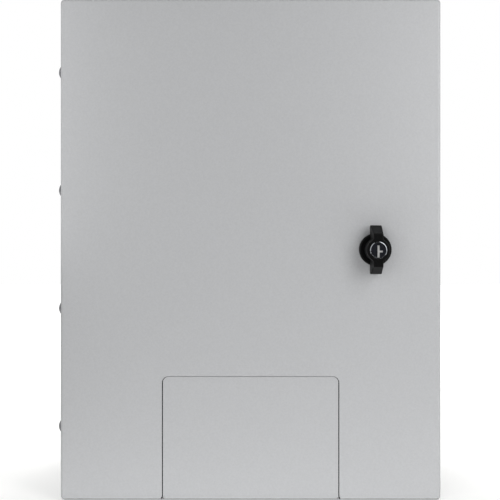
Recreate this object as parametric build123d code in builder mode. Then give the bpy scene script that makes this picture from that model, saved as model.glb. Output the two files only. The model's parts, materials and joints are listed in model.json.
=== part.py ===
from build123d import *

import os
from math import asin, cos, sin

# Steel wall enclosure: a folded case, an overlay door with a lockable wing knob and a lift-up cable flap.
# X runs to the right of a person facing the door, Y into the wall, Z up.
# The origin is on the wall face of the back, in the middle of the four wall holes.
# Depths are given as distances out from the wall, so a depth of 200 is at Y = -200.

# Case: folded sheet with an inward lip and a sealing rim round the front opening
case_width = 380.0
case_height = 500.0
overall_depth = 200.0  # wall to the face of the door
sheet = 1.5
corner_radius = 4.0  # edges that run from front to back
bend_radius = 3.0  # outside of the folds at the front
lip_width = 22.0  # outside of a wall to the inside of the rim
rim_corner_radius = 8.0
wall_hole_edge = 25.0  # outside of a wall to a hole
wall_hole_diameter = 9.0

# Door: a pan that lies over the front of the case
door_inset = 1.0  # the door is this much smaller than the case on every side
door_return = 30.0
door_gap = 3.0  # rear edge of the door to the lip of the case
gasket_height = 8.0
gasket_width = 12.0
gasket_clearance = 0.3
door_stud_side = 49.0  # left edge of the door to the earth stud
door_stud_rise = 44.0  # lower edge of the door to the earth stud

# Continuous hinge in the gutter on the left
hinge_end_margin = 49.0  # end of the hinge to the end of the door
hinge_leaf = 1.2
knuckle_count = 10
knuckle_end_clearance = 0.2
knuckle_wall = 1.15
knuckle_clearance = 0.3  # knuckles to the pieces that turn past them
pin_diameter = 2.4
pin_clearance = 0.05
hinge_axis_from_rear = 4.5  # in front of the rear edge of the door
door_leaf_front = 3.5  # behind the face of the door
case_leaf_flange = 13.0
hinge_screw_end = 23.0  # end of the hinge to its first screw
hinge_screw_count = 4
hinge_screw_setback = 10.0  # behind the face of the door
hinge_screw_diameter = 5.0
hinge_neck = 5.5  # square neck under the head, as long as the sheet is thick
hinge_head_diameter = 13.6
hinge_head_height = 3.2
hinge_nut_across = 8.0
hinge_nut_height = 4.0
screw_spare = 1.5
rivet_end = 50.0  # end of the hinge to its first rivet
rivet_count = 4
rivet_diameter = 3.2
rivet_head_diameter = 6.5
rivet_head_height = 1.1
rivet_tail_diameter = 4.8
rivet_tail_height = 2.0
hole_clearance = 0.25  # added to the radius of a hole for a screw or a stud

# Mounting plate on four stepped studs
plate_margin = 35.0  # outside of a wall to the edge of the plate
plate_thickness = 2.0
plate_corner_radius = 6.0
plate_hole_edge = 15.0  # edge of the plate to a stud
standoff_diameter = 14.0
standoff_length = 20.0
plate_stud_diameter = 8.0
plate_stud_spare = 3.0
plate_washer_diameter = 16.0
plate_washer_thickness = 1.6
plate_nut_across = 13.0
plate_nut_height = 6.5

# Gland plate inside the base
gland_end_margin = 90.0  # outside of a wall to the opening
gland_back_margin = 40.0  # wall face of the case to the opening
gland_front_margin = 37.0  # front of the lip to the opening
gland_overlap = 14.0
gland_gasket_thickness = 2.0
gland_plate_thickness = 2.0
gland_corner_radius = 8.0
gland_stud_diameter = 5.0
gland_stud_spare = 2.0
gland_nut_across = 8.0
gland_nut_height = 4.5

# Earth studs
case_earth_side = 40.0  # outside of the left wall to the stud
case_earth_front = 37.0  # front of the lip to the stud
case_earth_diameter = 8.0
case_earth_length = 22.0
case_earth_washer_diameter = 16.0
case_earth_washer_thickness = 1.6
case_earth_nut_across = 13.0
case_earth_nut_height = 6.5
door_earth_diameter = 6.0
door_earth_length = 16.0
door_earth_washer_diameter = 12.0
door_earth_washer_thickness = 1.2
door_earth_nut_across = 10.0
door_earth_nut_height = 5.0

# Cable flap in the lower middle of the door
notch_width = 176.2
notch_height = 123.0  # lower edge of the door to the top of the notch
notch_corner_radius = 6.5
flap_side_gap = 1.0
flap_top_gap = 0.4
flap_bevel_depth = 1.2  # bevel that lets the top edge of the flap pass the notch
flap_bevel_drop = 0.5
flap_return = 18.0
flap_pivot_rise = 12.0  # pivot above the top edge of the flap
flap_pivot_depth = 4.8  # pivot behind the face of the door
flap_eye_radius = 2.8
flap_pin_diameter = 2.5
flap_pin_head_diameter = 4.5
flap_pin_head_height = 1.0
flap_arm_span = 120.0  # from one arm to the other
flap_arm_thickness = 2.0
flap_arm_band = 4.4
flap_arm_reach = 15.0  # pivot back to the upright of an arm
flap_arm_drop = 19.0  # pivot down to the foot of an arm
flap_arm_bend = 4.0
flap_arm_foot = 14.0  # length of the foot welded to the flap
flap_lug_thickness = 2.0
flap_lug_gap = 0.3  # a lug to its arm
relief_diameter = 3.0  # bend relief at the lower end of each side gap
relief_depth = 8.0  # back from the face of the door
relief_rise = 2.0  # lower edge of the door to the middle of the relief
stop_width = 14.0
stop_overlap = 4.0  # how far a stop reaches behind the flap
stop_thickness = 1.5
flap_gasket_end_gap = 3.0  # end of the flap gasket to a stop

# Lock: a wing knob with a key plug, turning in a housing clamped in the door
lock_edge_distance = 65.5  # right edge of the door to the lock axis
lock_height = 0.0  # above the middle of the door
lock_seal_thickness = 0.8
lock_seal_diameter = 30.0
rosette_diameter = 32.0
rosette_height = 4.0
rosette_chamfer = 1.2
sleeve_diameter = 22.0
sleeve_flats = 20.0
sleeve_length = 16.0  # behind the face of the door
sleeve_clearance = 0.1
lock_nut_across = 27.0
lock_nut_height = 5.0
spindle_diameter = 13.0
running_clearance = 0.05
spindle_shoulder = 0.5  # spindle past the end of the housing sleeve
hub_diameter = 22.4
hub_front = 26.0  # face of the hub in front of the door
hub_gap = 0.3  # hub to the rosette
wing_base_width = 11.5
wing_crest_width = 9.6
wing_span = 48.0
wing_crest = 32.0  # length of the flat crest
wing_tip_front = 9.0  # where the slope of a tip ends, in front of the door
wing_root_radius = 2.5
wing_rounding = 1.0
cylinder_diameter = 16.6
cylinder_wall = 0.85
cylinder_length = 14.0
cylinder_proud = 0.3
plug_recess = 0.4  # face of the plug behind the face of the sleeve
keyway_width = 2.2
keyway_height = 11.8
keyway_drop = 1.2  # middle of the keyway below the axis
keyway_nub_width = 3.0
keyway_nub_height = 1.8
keyway_depth = 5.0
shutter_setback = 0.4
shutter_clearance = 0.05
cam_thickness = 3.0
cam_width = 18.0
cam_head = 10.0  # axis to the upper end of the cam
cam_straight = 20.0  # axis to the start of the crank
cam_crank = 12.0  # length of the crank along the cam
cam_overlap = 9.0  # how far the tip reaches behind the lip
cam_bend = 3.0
cam_clearance = 1.0  # tip of the cam to the back of the lip
spindle_square = 8.0
square_clearance = 0.05
cam_washer_diameter = 18.0
cam_washer_thickness = 1.6
cam_screw_diameter = 6.0
cam_screw_grip = 10.0
cam_screw_head_across = 10.0
cam_screw_head_height = 4.0

# Depths and places that follow from the sizes above
door_front = overall_depth
door_inner = door_front - sheet
door_rear = door_front - door_return
lip_front = door_rear - door_gap
rim_front = door_inner - gasket_height - gasket_clearance
door_width = case_width - 2 * door_inset
door_height = case_height - 2 * door_inset
door_bottom = -door_height / 2
floor_inner = -case_height / 2 + sheet
wall_hole_span_x = case_width - 2 * wall_hole_edge
wall_hole_span_z = case_height - 2 * wall_hole_edge
plate_width = case_width - 2 * plate_margin
plate_height = case_height - 2 * plate_margin
plate_span_x = plate_width - 2 * plate_hole_edge
plate_span_z = plate_height - 2 * plate_hole_edge
gland_width = case_width - 2 * gland_end_margin
gland_depth = lip_front - gland_back_margin - gland_front_margin
gland_from_wall = gland_back_margin + gland_depth / 2
case_earth_x = -case_width / 2 + case_earth_side
case_earth_from_wall = lip_front - case_earth_front
door_stud_x = -door_width / 2 + door_stud_side
door_stud_z = door_bottom + door_stud_rise
hinge_length = door_height - 2 * hinge_end_margin
hinge_screw_pitch = (hinge_length - 2 * hinge_screw_end) / (hinge_screw_count - 1)
rivet_pitch = (hinge_length - 2 * rivet_end) / (rivet_count - 1)
opening_width = case_width - 2 * lip_width
opening_height = case_height - 2 * lip_width
seal_width = opening_width + sheet  # middle line of the rim
seal_height = opening_height + sheet
plate_back = sheet + standoff_length
plate_front = plate_back + plate_thickness
knuckle_radius = pin_diameter / 2 + pin_clearance + knuckle_wall
hinge_x = -door_width / 2 + sheet + knuckle_clearance + knuckle_radius
hinge_depth = door_rear + hinge_axis_from_rear
leaf_back_x = -door_width / 2 + sheet
rim_outer_x = -opening_width / 2 - sheet
notch_top = door_bottom + notch_height
flap_width = notch_width - 2 * flap_side_gap
flap_top = notch_top - flap_top_gap
flap_pivot_z = flap_top + flap_pivot_rise
flap_pivot_out = door_front - flap_pivot_depth
relief_x = notch_width / 2 - flap_side_gap / 2
relief_z = door_bottom + relief_rise
lock_x = door_width / 2 - lock_edge_distance
rosette_back = door_front + lock_seal_thickness
rosette_front = rosette_back + rosette_height
sleeve_rear = door_front - sleeve_length
hub_back = rosette_front + hub_gap
hub_face = door_front + hub_front
hub_rise = hub_face - hub_back
cylinder_face = hub_face + cylinder_proud
plug_face = cylinder_face - plug_recess
plug_radius = cylinder_diameter / 2 - cylinder_wall - running_clearance
keyway_z = lock_height - keyway_drop
cam_front = sleeve_rear - spindle_shoulder
cam_tip_front = lip_front - sheet - cam_clearance
cam_length = lock_edge_distance + door_inset - lip_width + cam_overlap


def from_wall(depth):
    """A plane facing the viewer of the door, at a distance out from the wall."""
    return Plane.XZ.offset(depth)


def grid_points(span_a, span_b):
    """The four corners of a rectangle."""
    return [(sx * span_a / 2, sz * span_b / 2) for sx in (-1, 1) for sz in (-1, 1)]


def row_points(count, pitch):
    """Evenly pitched heights, centred on zero."""
    return [(i - (count - 1) / 2) * pitch for i in range(count)]


def dome_arc(face_x, axis_y, radius, height):
    """Half the section of a domed head that stands off a face towards -X."""
    sphere = (radius**2 + height**2) / (2 * height)
    half_angle = asin(radius / sphere) / 2
    middle_x = face_x - height + sphere * (1 - cos(half_angle))
    middle = (middle_x, axis_y + sphere * sin(half_angle))
    return ThreePointArc((face_x - height, axis_y), middle, (face_x, axis_y + radius))


def hexagon_radius(across):
    """Corner radius of a hexagon from its size across flats."""
    return across / 3**0.5


case_leaf_front = hinge_depth + knuckle_radius
rivet_depth = case_leaf_front + case_leaf_flange / 2
rivet_heights = row_points(rivet_count, rivet_pitch)
screw_depth = door_front - hinge_screw_setback
screw_heights = row_points(hinge_screw_count, hinge_screw_pitch)

# Case wrapper: walls, lip and rim
with BuildPart() as case_wrapper:
    with BuildSketch(from_wall(0)):
        RectangleRounded(case_width, case_height, corner_radius)
    extrude(amount=lip_front)
    fillet(case_wrapper.faces().sort_by(Axis.Y)[0].edges(), bend_radius)
    offset(amount=-sheet, openings=case_wrapper.faces().sort_by(Axis.Y)[-1])
    with BuildSketch(from_wall(lip_front - 2 * sheet)):
        RectangleRounded(opening_width, opening_height, rim_corner_radius)
    extrude(amount=3 * sheet, mode=Mode.SUBTRACT)
    with BuildSketch(from_wall(lip_front - sheet)):
        RectangleRounded(opening_width + 2 * sheet, opening_height + 2 * sheet, rim_corner_radius + sheet)
        RectangleRounded(opening_width, opening_height, rim_corner_radius, mode=Mode.SUBTRACT)
    extrude(amount=rim_front - lip_front + sheet)
    with BuildSketch(Plane.XY.offset(-case_height / 2 - sheet)):
        with Locations((0, -gland_from_wall)):
            RectangleRounded(gland_width, gland_depth, gland_corner_radius)
    extrude(amount=3 * sheet, mode=Mode.SUBTRACT)
    with BuildSketch(Plane.YZ.offset(rim_outer_x - sheet)):
        with Locations([(-rivet_depth, z) for z in rivet_heights]):
            Circle(rivet_diameter / 2)
    extrude(amount=3 * sheet, mode=Mode.SUBTRACT)

# Case back, set flush in the rear of the wrapper and welded round
with BuildPart() as case_back:
    with BuildSketch(from_wall(0)):
        RectangleRounded(case_width - 2 * sheet, case_height - 2 * sheet, corner_radius - sheet)
        with Locations(grid_points(wall_hole_span_x, wall_hole_span_z)):
            Circle(wall_hole_diameter / 2, mode=Mode.SUBTRACT)
    extrude(amount=sheet)

# Stepped studs welded to the back
with BuildPart() as plate_studs:
    with BuildSketch(from_wall(sheet)):
        with Locations(grid_points(plate_span_x, plate_span_z)):
            Circle(standoff_diameter / 2)
    extrude(amount=standoff_length)
    with BuildSketch(from_wall(plate_back)):
        with Locations(grid_points(plate_span_x, plate_span_z)):
            Circle(plate_stud_diameter / 2)
    extrude(amount=plate_thickness + plate_washer_thickness + plate_nut_height + plate_stud_spare)

# Mounting plate for the equipment
with BuildPart() as mounting_plate:
    with BuildSketch(from_wall(plate_back)):
        RectangleRounded(plate_width, plate_height, plate_corner_radius)
        with Locations(grid_points(plate_span_x, plate_span_z)):
            Circle(plate_stud_diameter / 2 + hole_clearance, mode=Mode.SUBTRACT)
    extrude(amount=plate_thickness)

with BuildPart() as plate_washers:
    with BuildSketch(from_wall(plate_front)):
        with Locations(grid_points(plate_span_x, plate_span_z)):
            Circle(plate_washer_diameter / 2)
            Circle(plate_stud_diameter / 2 + hole_clearance, mode=Mode.SUBTRACT)
    extrude(amount=plate_washer_thickness)

with BuildPart() as plate_nuts:
    with BuildSketch(from_wall(plate_front + plate_washer_thickness)):
        with Locations(grid_points(plate_span_x, plate_span_z)):
            RegularPolygon(hexagon_radius(plate_nut_across), 6)
            Circle(plate_stud_diameter / 2 + pin_clearance, mode=Mode.SUBTRACT)
    extrude(amount=plate_nut_height)

# Gland plate, bolted down over the opening in the base from inside
gland_spots = []
for column in (-1, 0, 1):
    for row in (-1, 1):
        spot_x = column * (gland_width + gland_overlap) / 2
        spot_y = -gland_from_wall + row * (gland_depth + gland_overlap) / 2
        gland_spots.append((spot_x, spot_y))

gland_plate_width = gland_width + 2 * gland_overlap
gland_plate_depth = gland_depth + 2 * gland_overlap
with BuildPart() as gland_gasket:
    with BuildSketch(Plane.XY.offset(floor_inner)):
        with Locations((0, -gland_from_wall)):
            RectangleRounded(gland_plate_width, gland_plate_depth, gland_corner_radius)
            RectangleRounded(gland_width, gland_depth, gland_corner_radius, mode=Mode.SUBTRACT)
        with Locations(gland_spots):
            Circle(gland_stud_diameter / 2 + hole_clearance, mode=Mode.SUBTRACT)
    extrude(amount=gland_gasket_thickness)

with BuildPart() as gland_plate:
    with BuildSketch(Plane.XY.offset(floor_inner + gland_gasket_thickness)):
        with Locations((0, -gland_from_wall)):
            RectangleRounded(gland_plate_width, gland_plate_depth, gland_corner_radius)
        with Locations(gland_spots):
            Circle(gland_stud_diameter / 2 + hole_clearance, mode=Mode.SUBTRACT)
    extrude(amount=gland_plate_thickness)

gland_clamp = gland_gasket_thickness + gland_plate_thickness
with BuildPart() as gland_studs:
    with BuildSketch(Plane.XY.offset(floor_inner)):
        with Locations(gland_spots):
            Circle(gland_stud_diameter / 2)
    extrude(amount=gland_clamp + gland_nut_height + gland_stud_spare)

with BuildPart() as gland_nuts:
    with BuildSketch(Plane.XY.offset(floor_inner + gland_clamp)):
        with Locations(gland_spots):
            RegularPolygon(hexagon_radius(gland_nut_across), 6)
            Circle(gland_stud_diameter / 2 + pin_clearance, mode=Mode.SUBTRACT)
    extrude(amount=gland_nut_height)

# Earth stud welded to the base, with a washer and a nut
with BuildPart() as case_earth_stud:
    with BuildSketch(Plane.XY.offset(floor_inner)):
        with Locations((case_earth_x, -case_earth_from_wall)):
            Circle(case_earth_diameter / 2)
    extrude(amount=case_earth_length)

with BuildPart() as case_earth_washer:
    with BuildSketch(Plane.XY.offset(floor_inner)):
        with Locations((case_earth_x, -case_earth_from_wall)):
            Circle(case_earth_washer_diameter / 2)
            Circle(case_earth_diameter / 2 + hole_clearance, mode=Mode.SUBTRACT)
    extrude(amount=case_earth_washer_thickness)

with BuildPart() as case_earth_nut:
    with BuildSketch(Plane.XY.offset(floor_inner + case_earth_washer_thickness)):
        with Locations((case_earth_x, -case_earth_from_wall)):
            RegularPolygon(hexagon_radius(case_earth_nut_across), 6)
            Circle(case_earth_diameter / 2 + pin_clearance, mode=Mode.SUBTRACT)
    extrude(amount=case_earth_nut_height)

# Hinge: knuckles of the two leaves take turns along one pin
knuckle_pitch = hinge_length / knuckle_count
knuckle_middles = row_points(knuckle_count, knuckle_pitch)
knuckle_length = knuckle_pitch - 2 * knuckle_end_clearance
cut_back = knuckle_radius + knuckle_clearance

with BuildPart() as hinge_leaf_case:
    with BuildSketch(Plane.XY.offset(-hinge_length / 2)):
        with BuildLine():
            Polyline(
                (hinge_x + cut_back, -case_leaf_front + hinge_leaf / 2),
                (rim_outer_x - hinge_leaf / 2, -case_leaf_front + hinge_leaf / 2),
                (rim_outer_x - hinge_leaf / 2, -case_leaf_front - case_leaf_flange),
            )
        trace(line_width=hinge_leaf)
    extrude(amount=hinge_length)
    for middle in knuckle_middles[1::2]:
        with BuildSketch(Plane.XY.offset(middle - knuckle_length / 2)):
            with Locations((hinge_x, -hinge_depth)):
                Circle(knuckle_radius)
            with Locations((hinge_x, -case_leaf_front)):
                Rectangle(cut_back + hinge_leaf, hinge_leaf, align=(Align.MIN, Align.MIN))
            with Locations((hinge_x, -hinge_depth)):
                Circle(pin_diameter / 2 + pin_clearance, mode=Mode.SUBTRACT)
        extrude(amount=knuckle_length)
    with BuildSketch(Plane.YZ.offset(rim_outer_x - 2 * hinge_leaf)):
        with Locations([(-rivet_depth, z) for z in rivet_heights]):
            Circle(rivet_diameter / 2)
    extrude(amount=3 * hinge_leaf, mode=Mode.SUBTRACT)

with BuildPart() as hinge_leaf_door:
    with BuildSketch(Plane.YZ.offset(leaf_back_x)):
        with Locations((-hinge_depth - cut_back, 0)):
            Rectangle(
                door_front - door_leaf_front - hinge_depth - cut_back,
                hinge_length,
                align=(Align.MAX, Align.CENTER),
            )
        with Locations([(-screw_depth, z) for z in screw_heights]):
            Circle(hinge_screw_diameter / 2 + hole_clearance, mode=Mode.SUBTRACT)
    extrude(amount=hinge_leaf)
    for middle in knuckle_middles[0::2]:
        with BuildSketch(Plane.XY.offset(middle - knuckle_length / 2)):
            with Locations((hinge_x, -hinge_depth)):
                Circle(knuckle_radius)
            with Locations((leaf_back_x, -hinge_depth)):
                Rectangle(hinge_leaf, cut_back + hinge_leaf, align=(Align.MIN, Align.MAX))
            with Locations((hinge_x, -hinge_depth)):
                Circle(pin_diameter / 2 + pin_clearance, mode=Mode.SUBTRACT)
        extrude(amount=knuckle_length)

with BuildPart() as hinge_pin:
    with BuildSketch(Plane.XY.offset(-hinge_length / 2)):
        with Locations((hinge_x, -hinge_depth)):
            Circle(pin_diameter / 2)
    extrude(amount=hinge_length)

# Rivets that hold the case leaf to the outside of the rim
with BuildPart() as hinge_rivets:
    head_face = rim_outer_x - hinge_leaf
    tail_face = rim_outer_x + sheet
    for z in rivet_heights:
        with BuildSketch(Plane.XY.offset(z)):
            with BuildLine():
                dome_arc(head_face, -rivet_depth, rivet_head_diameter / 2, rivet_head_height)
                Polyline(
                    (head_face, -rivet_depth + rivet_head_diameter / 2),
                    (head_face, -rivet_depth + rivet_diameter / 2),
                    (tail_face, -rivet_depth + rivet_diameter / 2),
                    (tail_face, -rivet_depth + rivet_tail_diameter / 2),
                    (tail_face + rivet_tail_height, -rivet_depth + rivet_tail_diameter / 2),
                    (tail_face + rivet_tail_height, -rivet_depth),
                    (head_face - rivet_head_height, -rivet_depth),
                )
            make_face()
        revolve(axis=Axis((0, -rivet_depth, z), (1, 0, 0)))

# Mushroom-head bolts through the left return of the door and the hinge leaf
screw_end = leaf_back_x + hinge_leaf + hinge_nut_height + screw_spare
with BuildPart() as hinge_screws:
    for z in screw_heights:
        with BuildSketch(Plane.XY.offset(z)):
            with BuildLine():
                dome_arc(-door_width / 2, -screw_depth, hinge_head_diameter / 2, hinge_head_height)
                Polyline(
                    (-door_width / 2, -screw_depth + hinge_head_diameter / 2),
                    (-door_width / 2, -screw_depth + hinge_screw_diameter / 2),
                    (screw_end, -screw_depth + hinge_screw_diameter / 2),
                    (screw_end, -screw_depth),
                    (-door_width / 2 - hinge_head_height, -screw_depth),
                )
            make_face()
        revolve(axis=Axis((0, -screw_depth, z), (1, 0, 0)))
    with BuildSketch(Plane.YZ.offset(-door_width / 2)):
        with Locations([(-screw_depth, z) for z in screw_heights]):
            Rectangle(hinge_neck, hinge_neck)
    extrude(amount=sheet)

with BuildPart() as hinge_nuts:
    with BuildSketch(Plane.YZ.offset(leaf_back_x + hinge_leaf)):
        with Locations([(-screw_depth, z) for z in screw_heights]):
            RegularPolygon(hexagon_radius(hinge_nut_across), 6)
            Circle(hinge_screw_diameter / 2 + pin_clearance, mode=Mode.SUBTRACT)
    extrude(amount=hinge_nut_height)

# Door panel: a pan with the notch for the flap, the lock hole and the screw holes
with BuildPart() as door_panel:
    with BuildSketch(from_wall(door_rear)):
        RectangleRounded(door_width, door_height, corner_radius)
    extrude(amount=door_return)
    fillet(door_panel.faces().sort_by(Axis.Y)[0].edges(), bend_radius)
    offset(amount=-sheet, openings=door_panel.faces().sort_by(Axis.Y)[-1])
    with BuildSketch(from_wall(door_rear - sheet)) as notch:
        with Locations((0, notch_top)):
            Rectangle(notch_width, notch_height + sheet, align=(Align.CENTER, Align.MAX))
        fillet(notch.vertices().group_by(Axis.Y)[-1], notch_corner_radius)
    extrude(amount=door_return + 2 * sheet, mode=Mode.SUBTRACT)
    with BuildSketch(from_wall(door_front - relief_depth)):
        with Locations((-relief_x, relief_z), (relief_x, relief_z)):
            Circle(relief_diameter / 2)
    extrude(amount=relief_depth + sheet, mode=Mode.SUBTRACT)
    with BuildSketch(from_wall(door_inner - sheet)):
        with Locations((lock_x, lock_height)):
            Circle(sleeve_diameter / 2 + sleeve_clearance)
            Rectangle(sleeve_flats + 2 * sleeve_clearance, 2 * sleeve_diameter, mode=Mode.INTERSECT)
    extrude(amount=3 * sheet, mode=Mode.SUBTRACT)
    with BuildSketch(Plane.YZ.offset(-door_width / 2 - sheet)):
        with Locations([(-screw_depth, z) for z in screw_heights]):
            Rectangle(hinge_neck + 2 * square_clearance, hinge_neck + 2 * square_clearance)
    extrude(amount=3 * sheet, mode=Mode.SUBTRACT)

# Foam gasket on the inside of the door, broken where the flap is
stop_inner = flap_width / 2 - stop_overlap
with BuildPart() as door_gasket:
    with BuildSketch(from_wall(door_inner - gasket_height)):
        RectangleRounded(
            seal_width + gasket_width, seal_height + gasket_width, rim_corner_radius + gasket_width / 2
        )
        RectangleRounded(
            seal_width - gasket_width, seal_height - gasket_width, rim_corner_radius / 2, mode=Mode.SUBTRACT
        )
        with Locations((0, -seal_height / 2)):
            Rectangle(2 * (stop_inner + stop_width), 2 * gasket_width, mode=Mode.SUBTRACT)
    extrude(amount=gasket_height)

# Strips behind the sides of the notch that the flap shuts against
stop_middle = stop_inner + stop_width / 2
with BuildPart() as flap_stops:
    with BuildSketch(from_wall(door_inner - stop_thickness)):
        with Locations([(side * stop_middle, door_bottom + bend_radius) for side in (-1, 1)]):
            Rectangle(stop_width, notch_height, align=(Align.CENTER, Align.MIN))
    extrude(amount=stop_thickness)

# Lugs behind the door that carry the flap pins
lug_offset = flap_arm_thickness / 2 + flap_lug_gap + flap_lug_thickness / 2
lug_places = [
    arm * flap_arm_span / 2 + side * lug_offset for arm in (-1, 1) for side in (-1, 1)
]
with BuildPart() as flap_lugs:
    for place in lug_places:
        with BuildSketch(Plane.YZ.offset(place)):
            with Locations((-flap_pivot_out, flap_pivot_z)):
                Circle(flap_eye_radius)
                Rectangle(
                    flap_pivot_depth - sheet,
                    2 * flap_eye_radius,
                    align=(Align.MAX, Align.CENTER),
                )
                Circle(flap_pin_diameter / 2 + pin_clearance, mode=Mode.SUBTRACT)
        extrude(amount=flap_lug_thickness / 2, both=True)

# Headed pins through the lugs
flap_pin_grip = 2 * lug_offset + flap_lug_thickness
with BuildPart() as flap_pins:
    for arm in (-1, 1):
        middle = arm * flap_arm_span / 2
        with BuildSketch(Plane.YZ.offset(middle)):
            with Locations((-flap_pivot_out, flap_pivot_z)):
                Circle(flap_pin_diameter / 2)
        extrude(amount=flap_pin_grip / 2 + flap_pin_head_height / 2, both=True)
        for end in (-1, 1):
            with BuildSketch(Plane.YZ.offset(middle + end * flap_pin_grip / 2)):
                with Locations((-flap_pivot_out, flap_pivot_z)):
                    Circle(flap_pin_head_diameter / 2)
            extrude(amount=end * flap_pin_head_height)

# Flap panel: cut from the same pan, with its own return along the lower edge
with BuildPart() as flap_panel:
    with BuildSketch(Plane.YZ):
        with BuildLine():
            FilletPolyline(
                (-door_front + sheet / 2, flap_top),
                (-door_front + sheet / 2, door_bottom + sheet / 2),
                (-door_front + flap_return, door_bottom + sheet / 2),
                radius=bend_radius - sheet / 2,
            )
        trace(line_width=sheet)
    extrude(amount=flap_width / 2, both=True)
    top_edges = flap_panel.edges().filter_by(Axis.Y).group_by(Axis.Z)[-1]
    fillet(top_edges, notch_corner_radius - flap_side_gap)
    with BuildSketch(Plane.YZ):
        with BuildLine():
            Polyline(
                (-door_inner - flap_bevel_depth, flap_top),
                (-door_inner, flap_top),
                (-door_inner, flap_top - flap_bevel_drop),
                close=True,
            )
        make_face()
    extrude(amount=flap_width / 2, both=True, mode=Mode.SUBTRACT)
    with BuildSketch(from_wall(door_front - relief_depth)):
        with Locations((-relief_x, relief_z), (relief_x, relief_z)):
            Circle(relief_diameter / 2)
    extrude(amount=relief_depth + sheet, mode=Mode.SUBTRACT)

# Goose-neck arms that carry the flap clear of the edge of the notch
with BuildPart() as flap_arms:
    for arm in (-1, 1):
        with BuildSketch(Plane.YZ.offset(arm * flap_arm_span / 2)):
            with BuildLine():
                FilletPolyline(
                    (-flap_pivot_out, flap_pivot_z),
                    (-flap_pivot_out + flap_arm_reach, flap_pivot_z),
                    (-flap_pivot_out + flap_arm_reach, flap_pivot_z - flap_arm_drop),
                    (-door_inner + flap_arm_band / 2, flap_pivot_z - flap_arm_drop),
                    radius=flap_arm_bend,
                )
            trace(line_width=flap_arm_band)
            with Locations((-door_inner, flap_pivot_z - flap_arm_drop + flap_arm_band / 2)):
                Rectangle(flap_arm_band, flap_arm_foot, align=(Align.MIN, Align.MAX))
            with Locations((-flap_pivot_out, flap_pivot_z)):
                Circle(flap_eye_radius)
                Circle(flap_pin_diameter / 2 + running_clearance, mode=Mode.SUBTRACT)
        extrude(amount=flap_arm_thickness / 2, both=True)

# Length of gasket that the flap carries across the lower run of the rim
with BuildPart() as flap_gasket:
    with BuildSketch(from_wall(door_inner - gasket_height)):
        with Locations((0, -seal_height / 2)):
            Rectangle(2 * (stop_inner - flap_gasket_end_gap), gasket_width)
    extrude(amount=gasket_height)

# Earth stud on the inside of the door
with BuildPart() as door_earth_stud:
    with BuildSketch(from_wall(door_inner)):
        with Locations((door_stud_x, door_stud_z)):
            Circle(door_earth_diameter / 2)
    extrude(amount=-door_earth_length)

with BuildPart() as door_earth_washer:
    with BuildSketch(from_wall(door_inner)):
        with Locations((door_stud_x, door_stud_z)):
            Circle(door_earth_washer_diameter / 2)
            Circle(door_earth_diameter / 2 + hole_clearance, mode=Mode.SUBTRACT)
    extrude(amount=-door_earth_washer_thickness)

with BuildPart() as door_earth_nut:
    with BuildSketch(from_wall(door_inner - door_earth_washer_thickness)):
        with Locations((door_stud_x, door_stud_z)):
            RegularPolygon(hexagon_radius(door_earth_nut_across), 6)
            Circle(door_earth_diameter / 2 + pin_clearance, mode=Mode.SUBTRACT)
    extrude(amount=-door_earth_nut_height)

# Lock housing: a rosette on the face and a flatted sleeve through the door
with BuildPart() as lock_housing:
    with BuildSketch(from_wall(rosette_back)):
        with Locations((lock_x, lock_height)):
            Circle(rosette_diameter / 2)
    extrude(amount=rosette_height)
    chamfer(lock_housing.faces().sort_by(Axis.Y)[0].edges(), rosette_chamfer)
    with BuildSketch(from_wall(sleeve_rear)):
        with Locations((lock_x, lock_height)):
            Circle(sleeve_diameter / 2)
            Rectangle(sleeve_flats, 2 * sleeve_diameter, mode=Mode.INTERSECT)
    extrude(amount=rosette_back - sleeve_rear)
    with BuildSketch(from_wall(sleeve_rear)):
        with Locations((lock_x, lock_height)):
            Circle(spindle_diameter / 2 + running_clearance)
    extrude(amount=rosette_front - sleeve_rear, mode=Mode.SUBTRACT)

with BuildPart() as lock_seal:
    with BuildSketch(from_wall(door_front)):
        with Locations((lock_x, lock_height)):
            Circle(lock_seal_diameter / 2)
            Circle(sleeve_diameter / 2 + sleeve_clearance, mode=Mode.SUBTRACT)
    extrude(amount=lock_seal_thickness)

with BuildPart() as lock_nut:
    with BuildSketch(from_wall(door_inner)):
        with Locations((lock_x, lock_height)):
            RegularPolygon(hexagon_radius(lock_nut_across), 6)
            Circle(sleeve_diameter / 2 + pin_clearance, mode=Mode.SUBTRACT)
    extrude(amount=-lock_nut_height)

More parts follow.
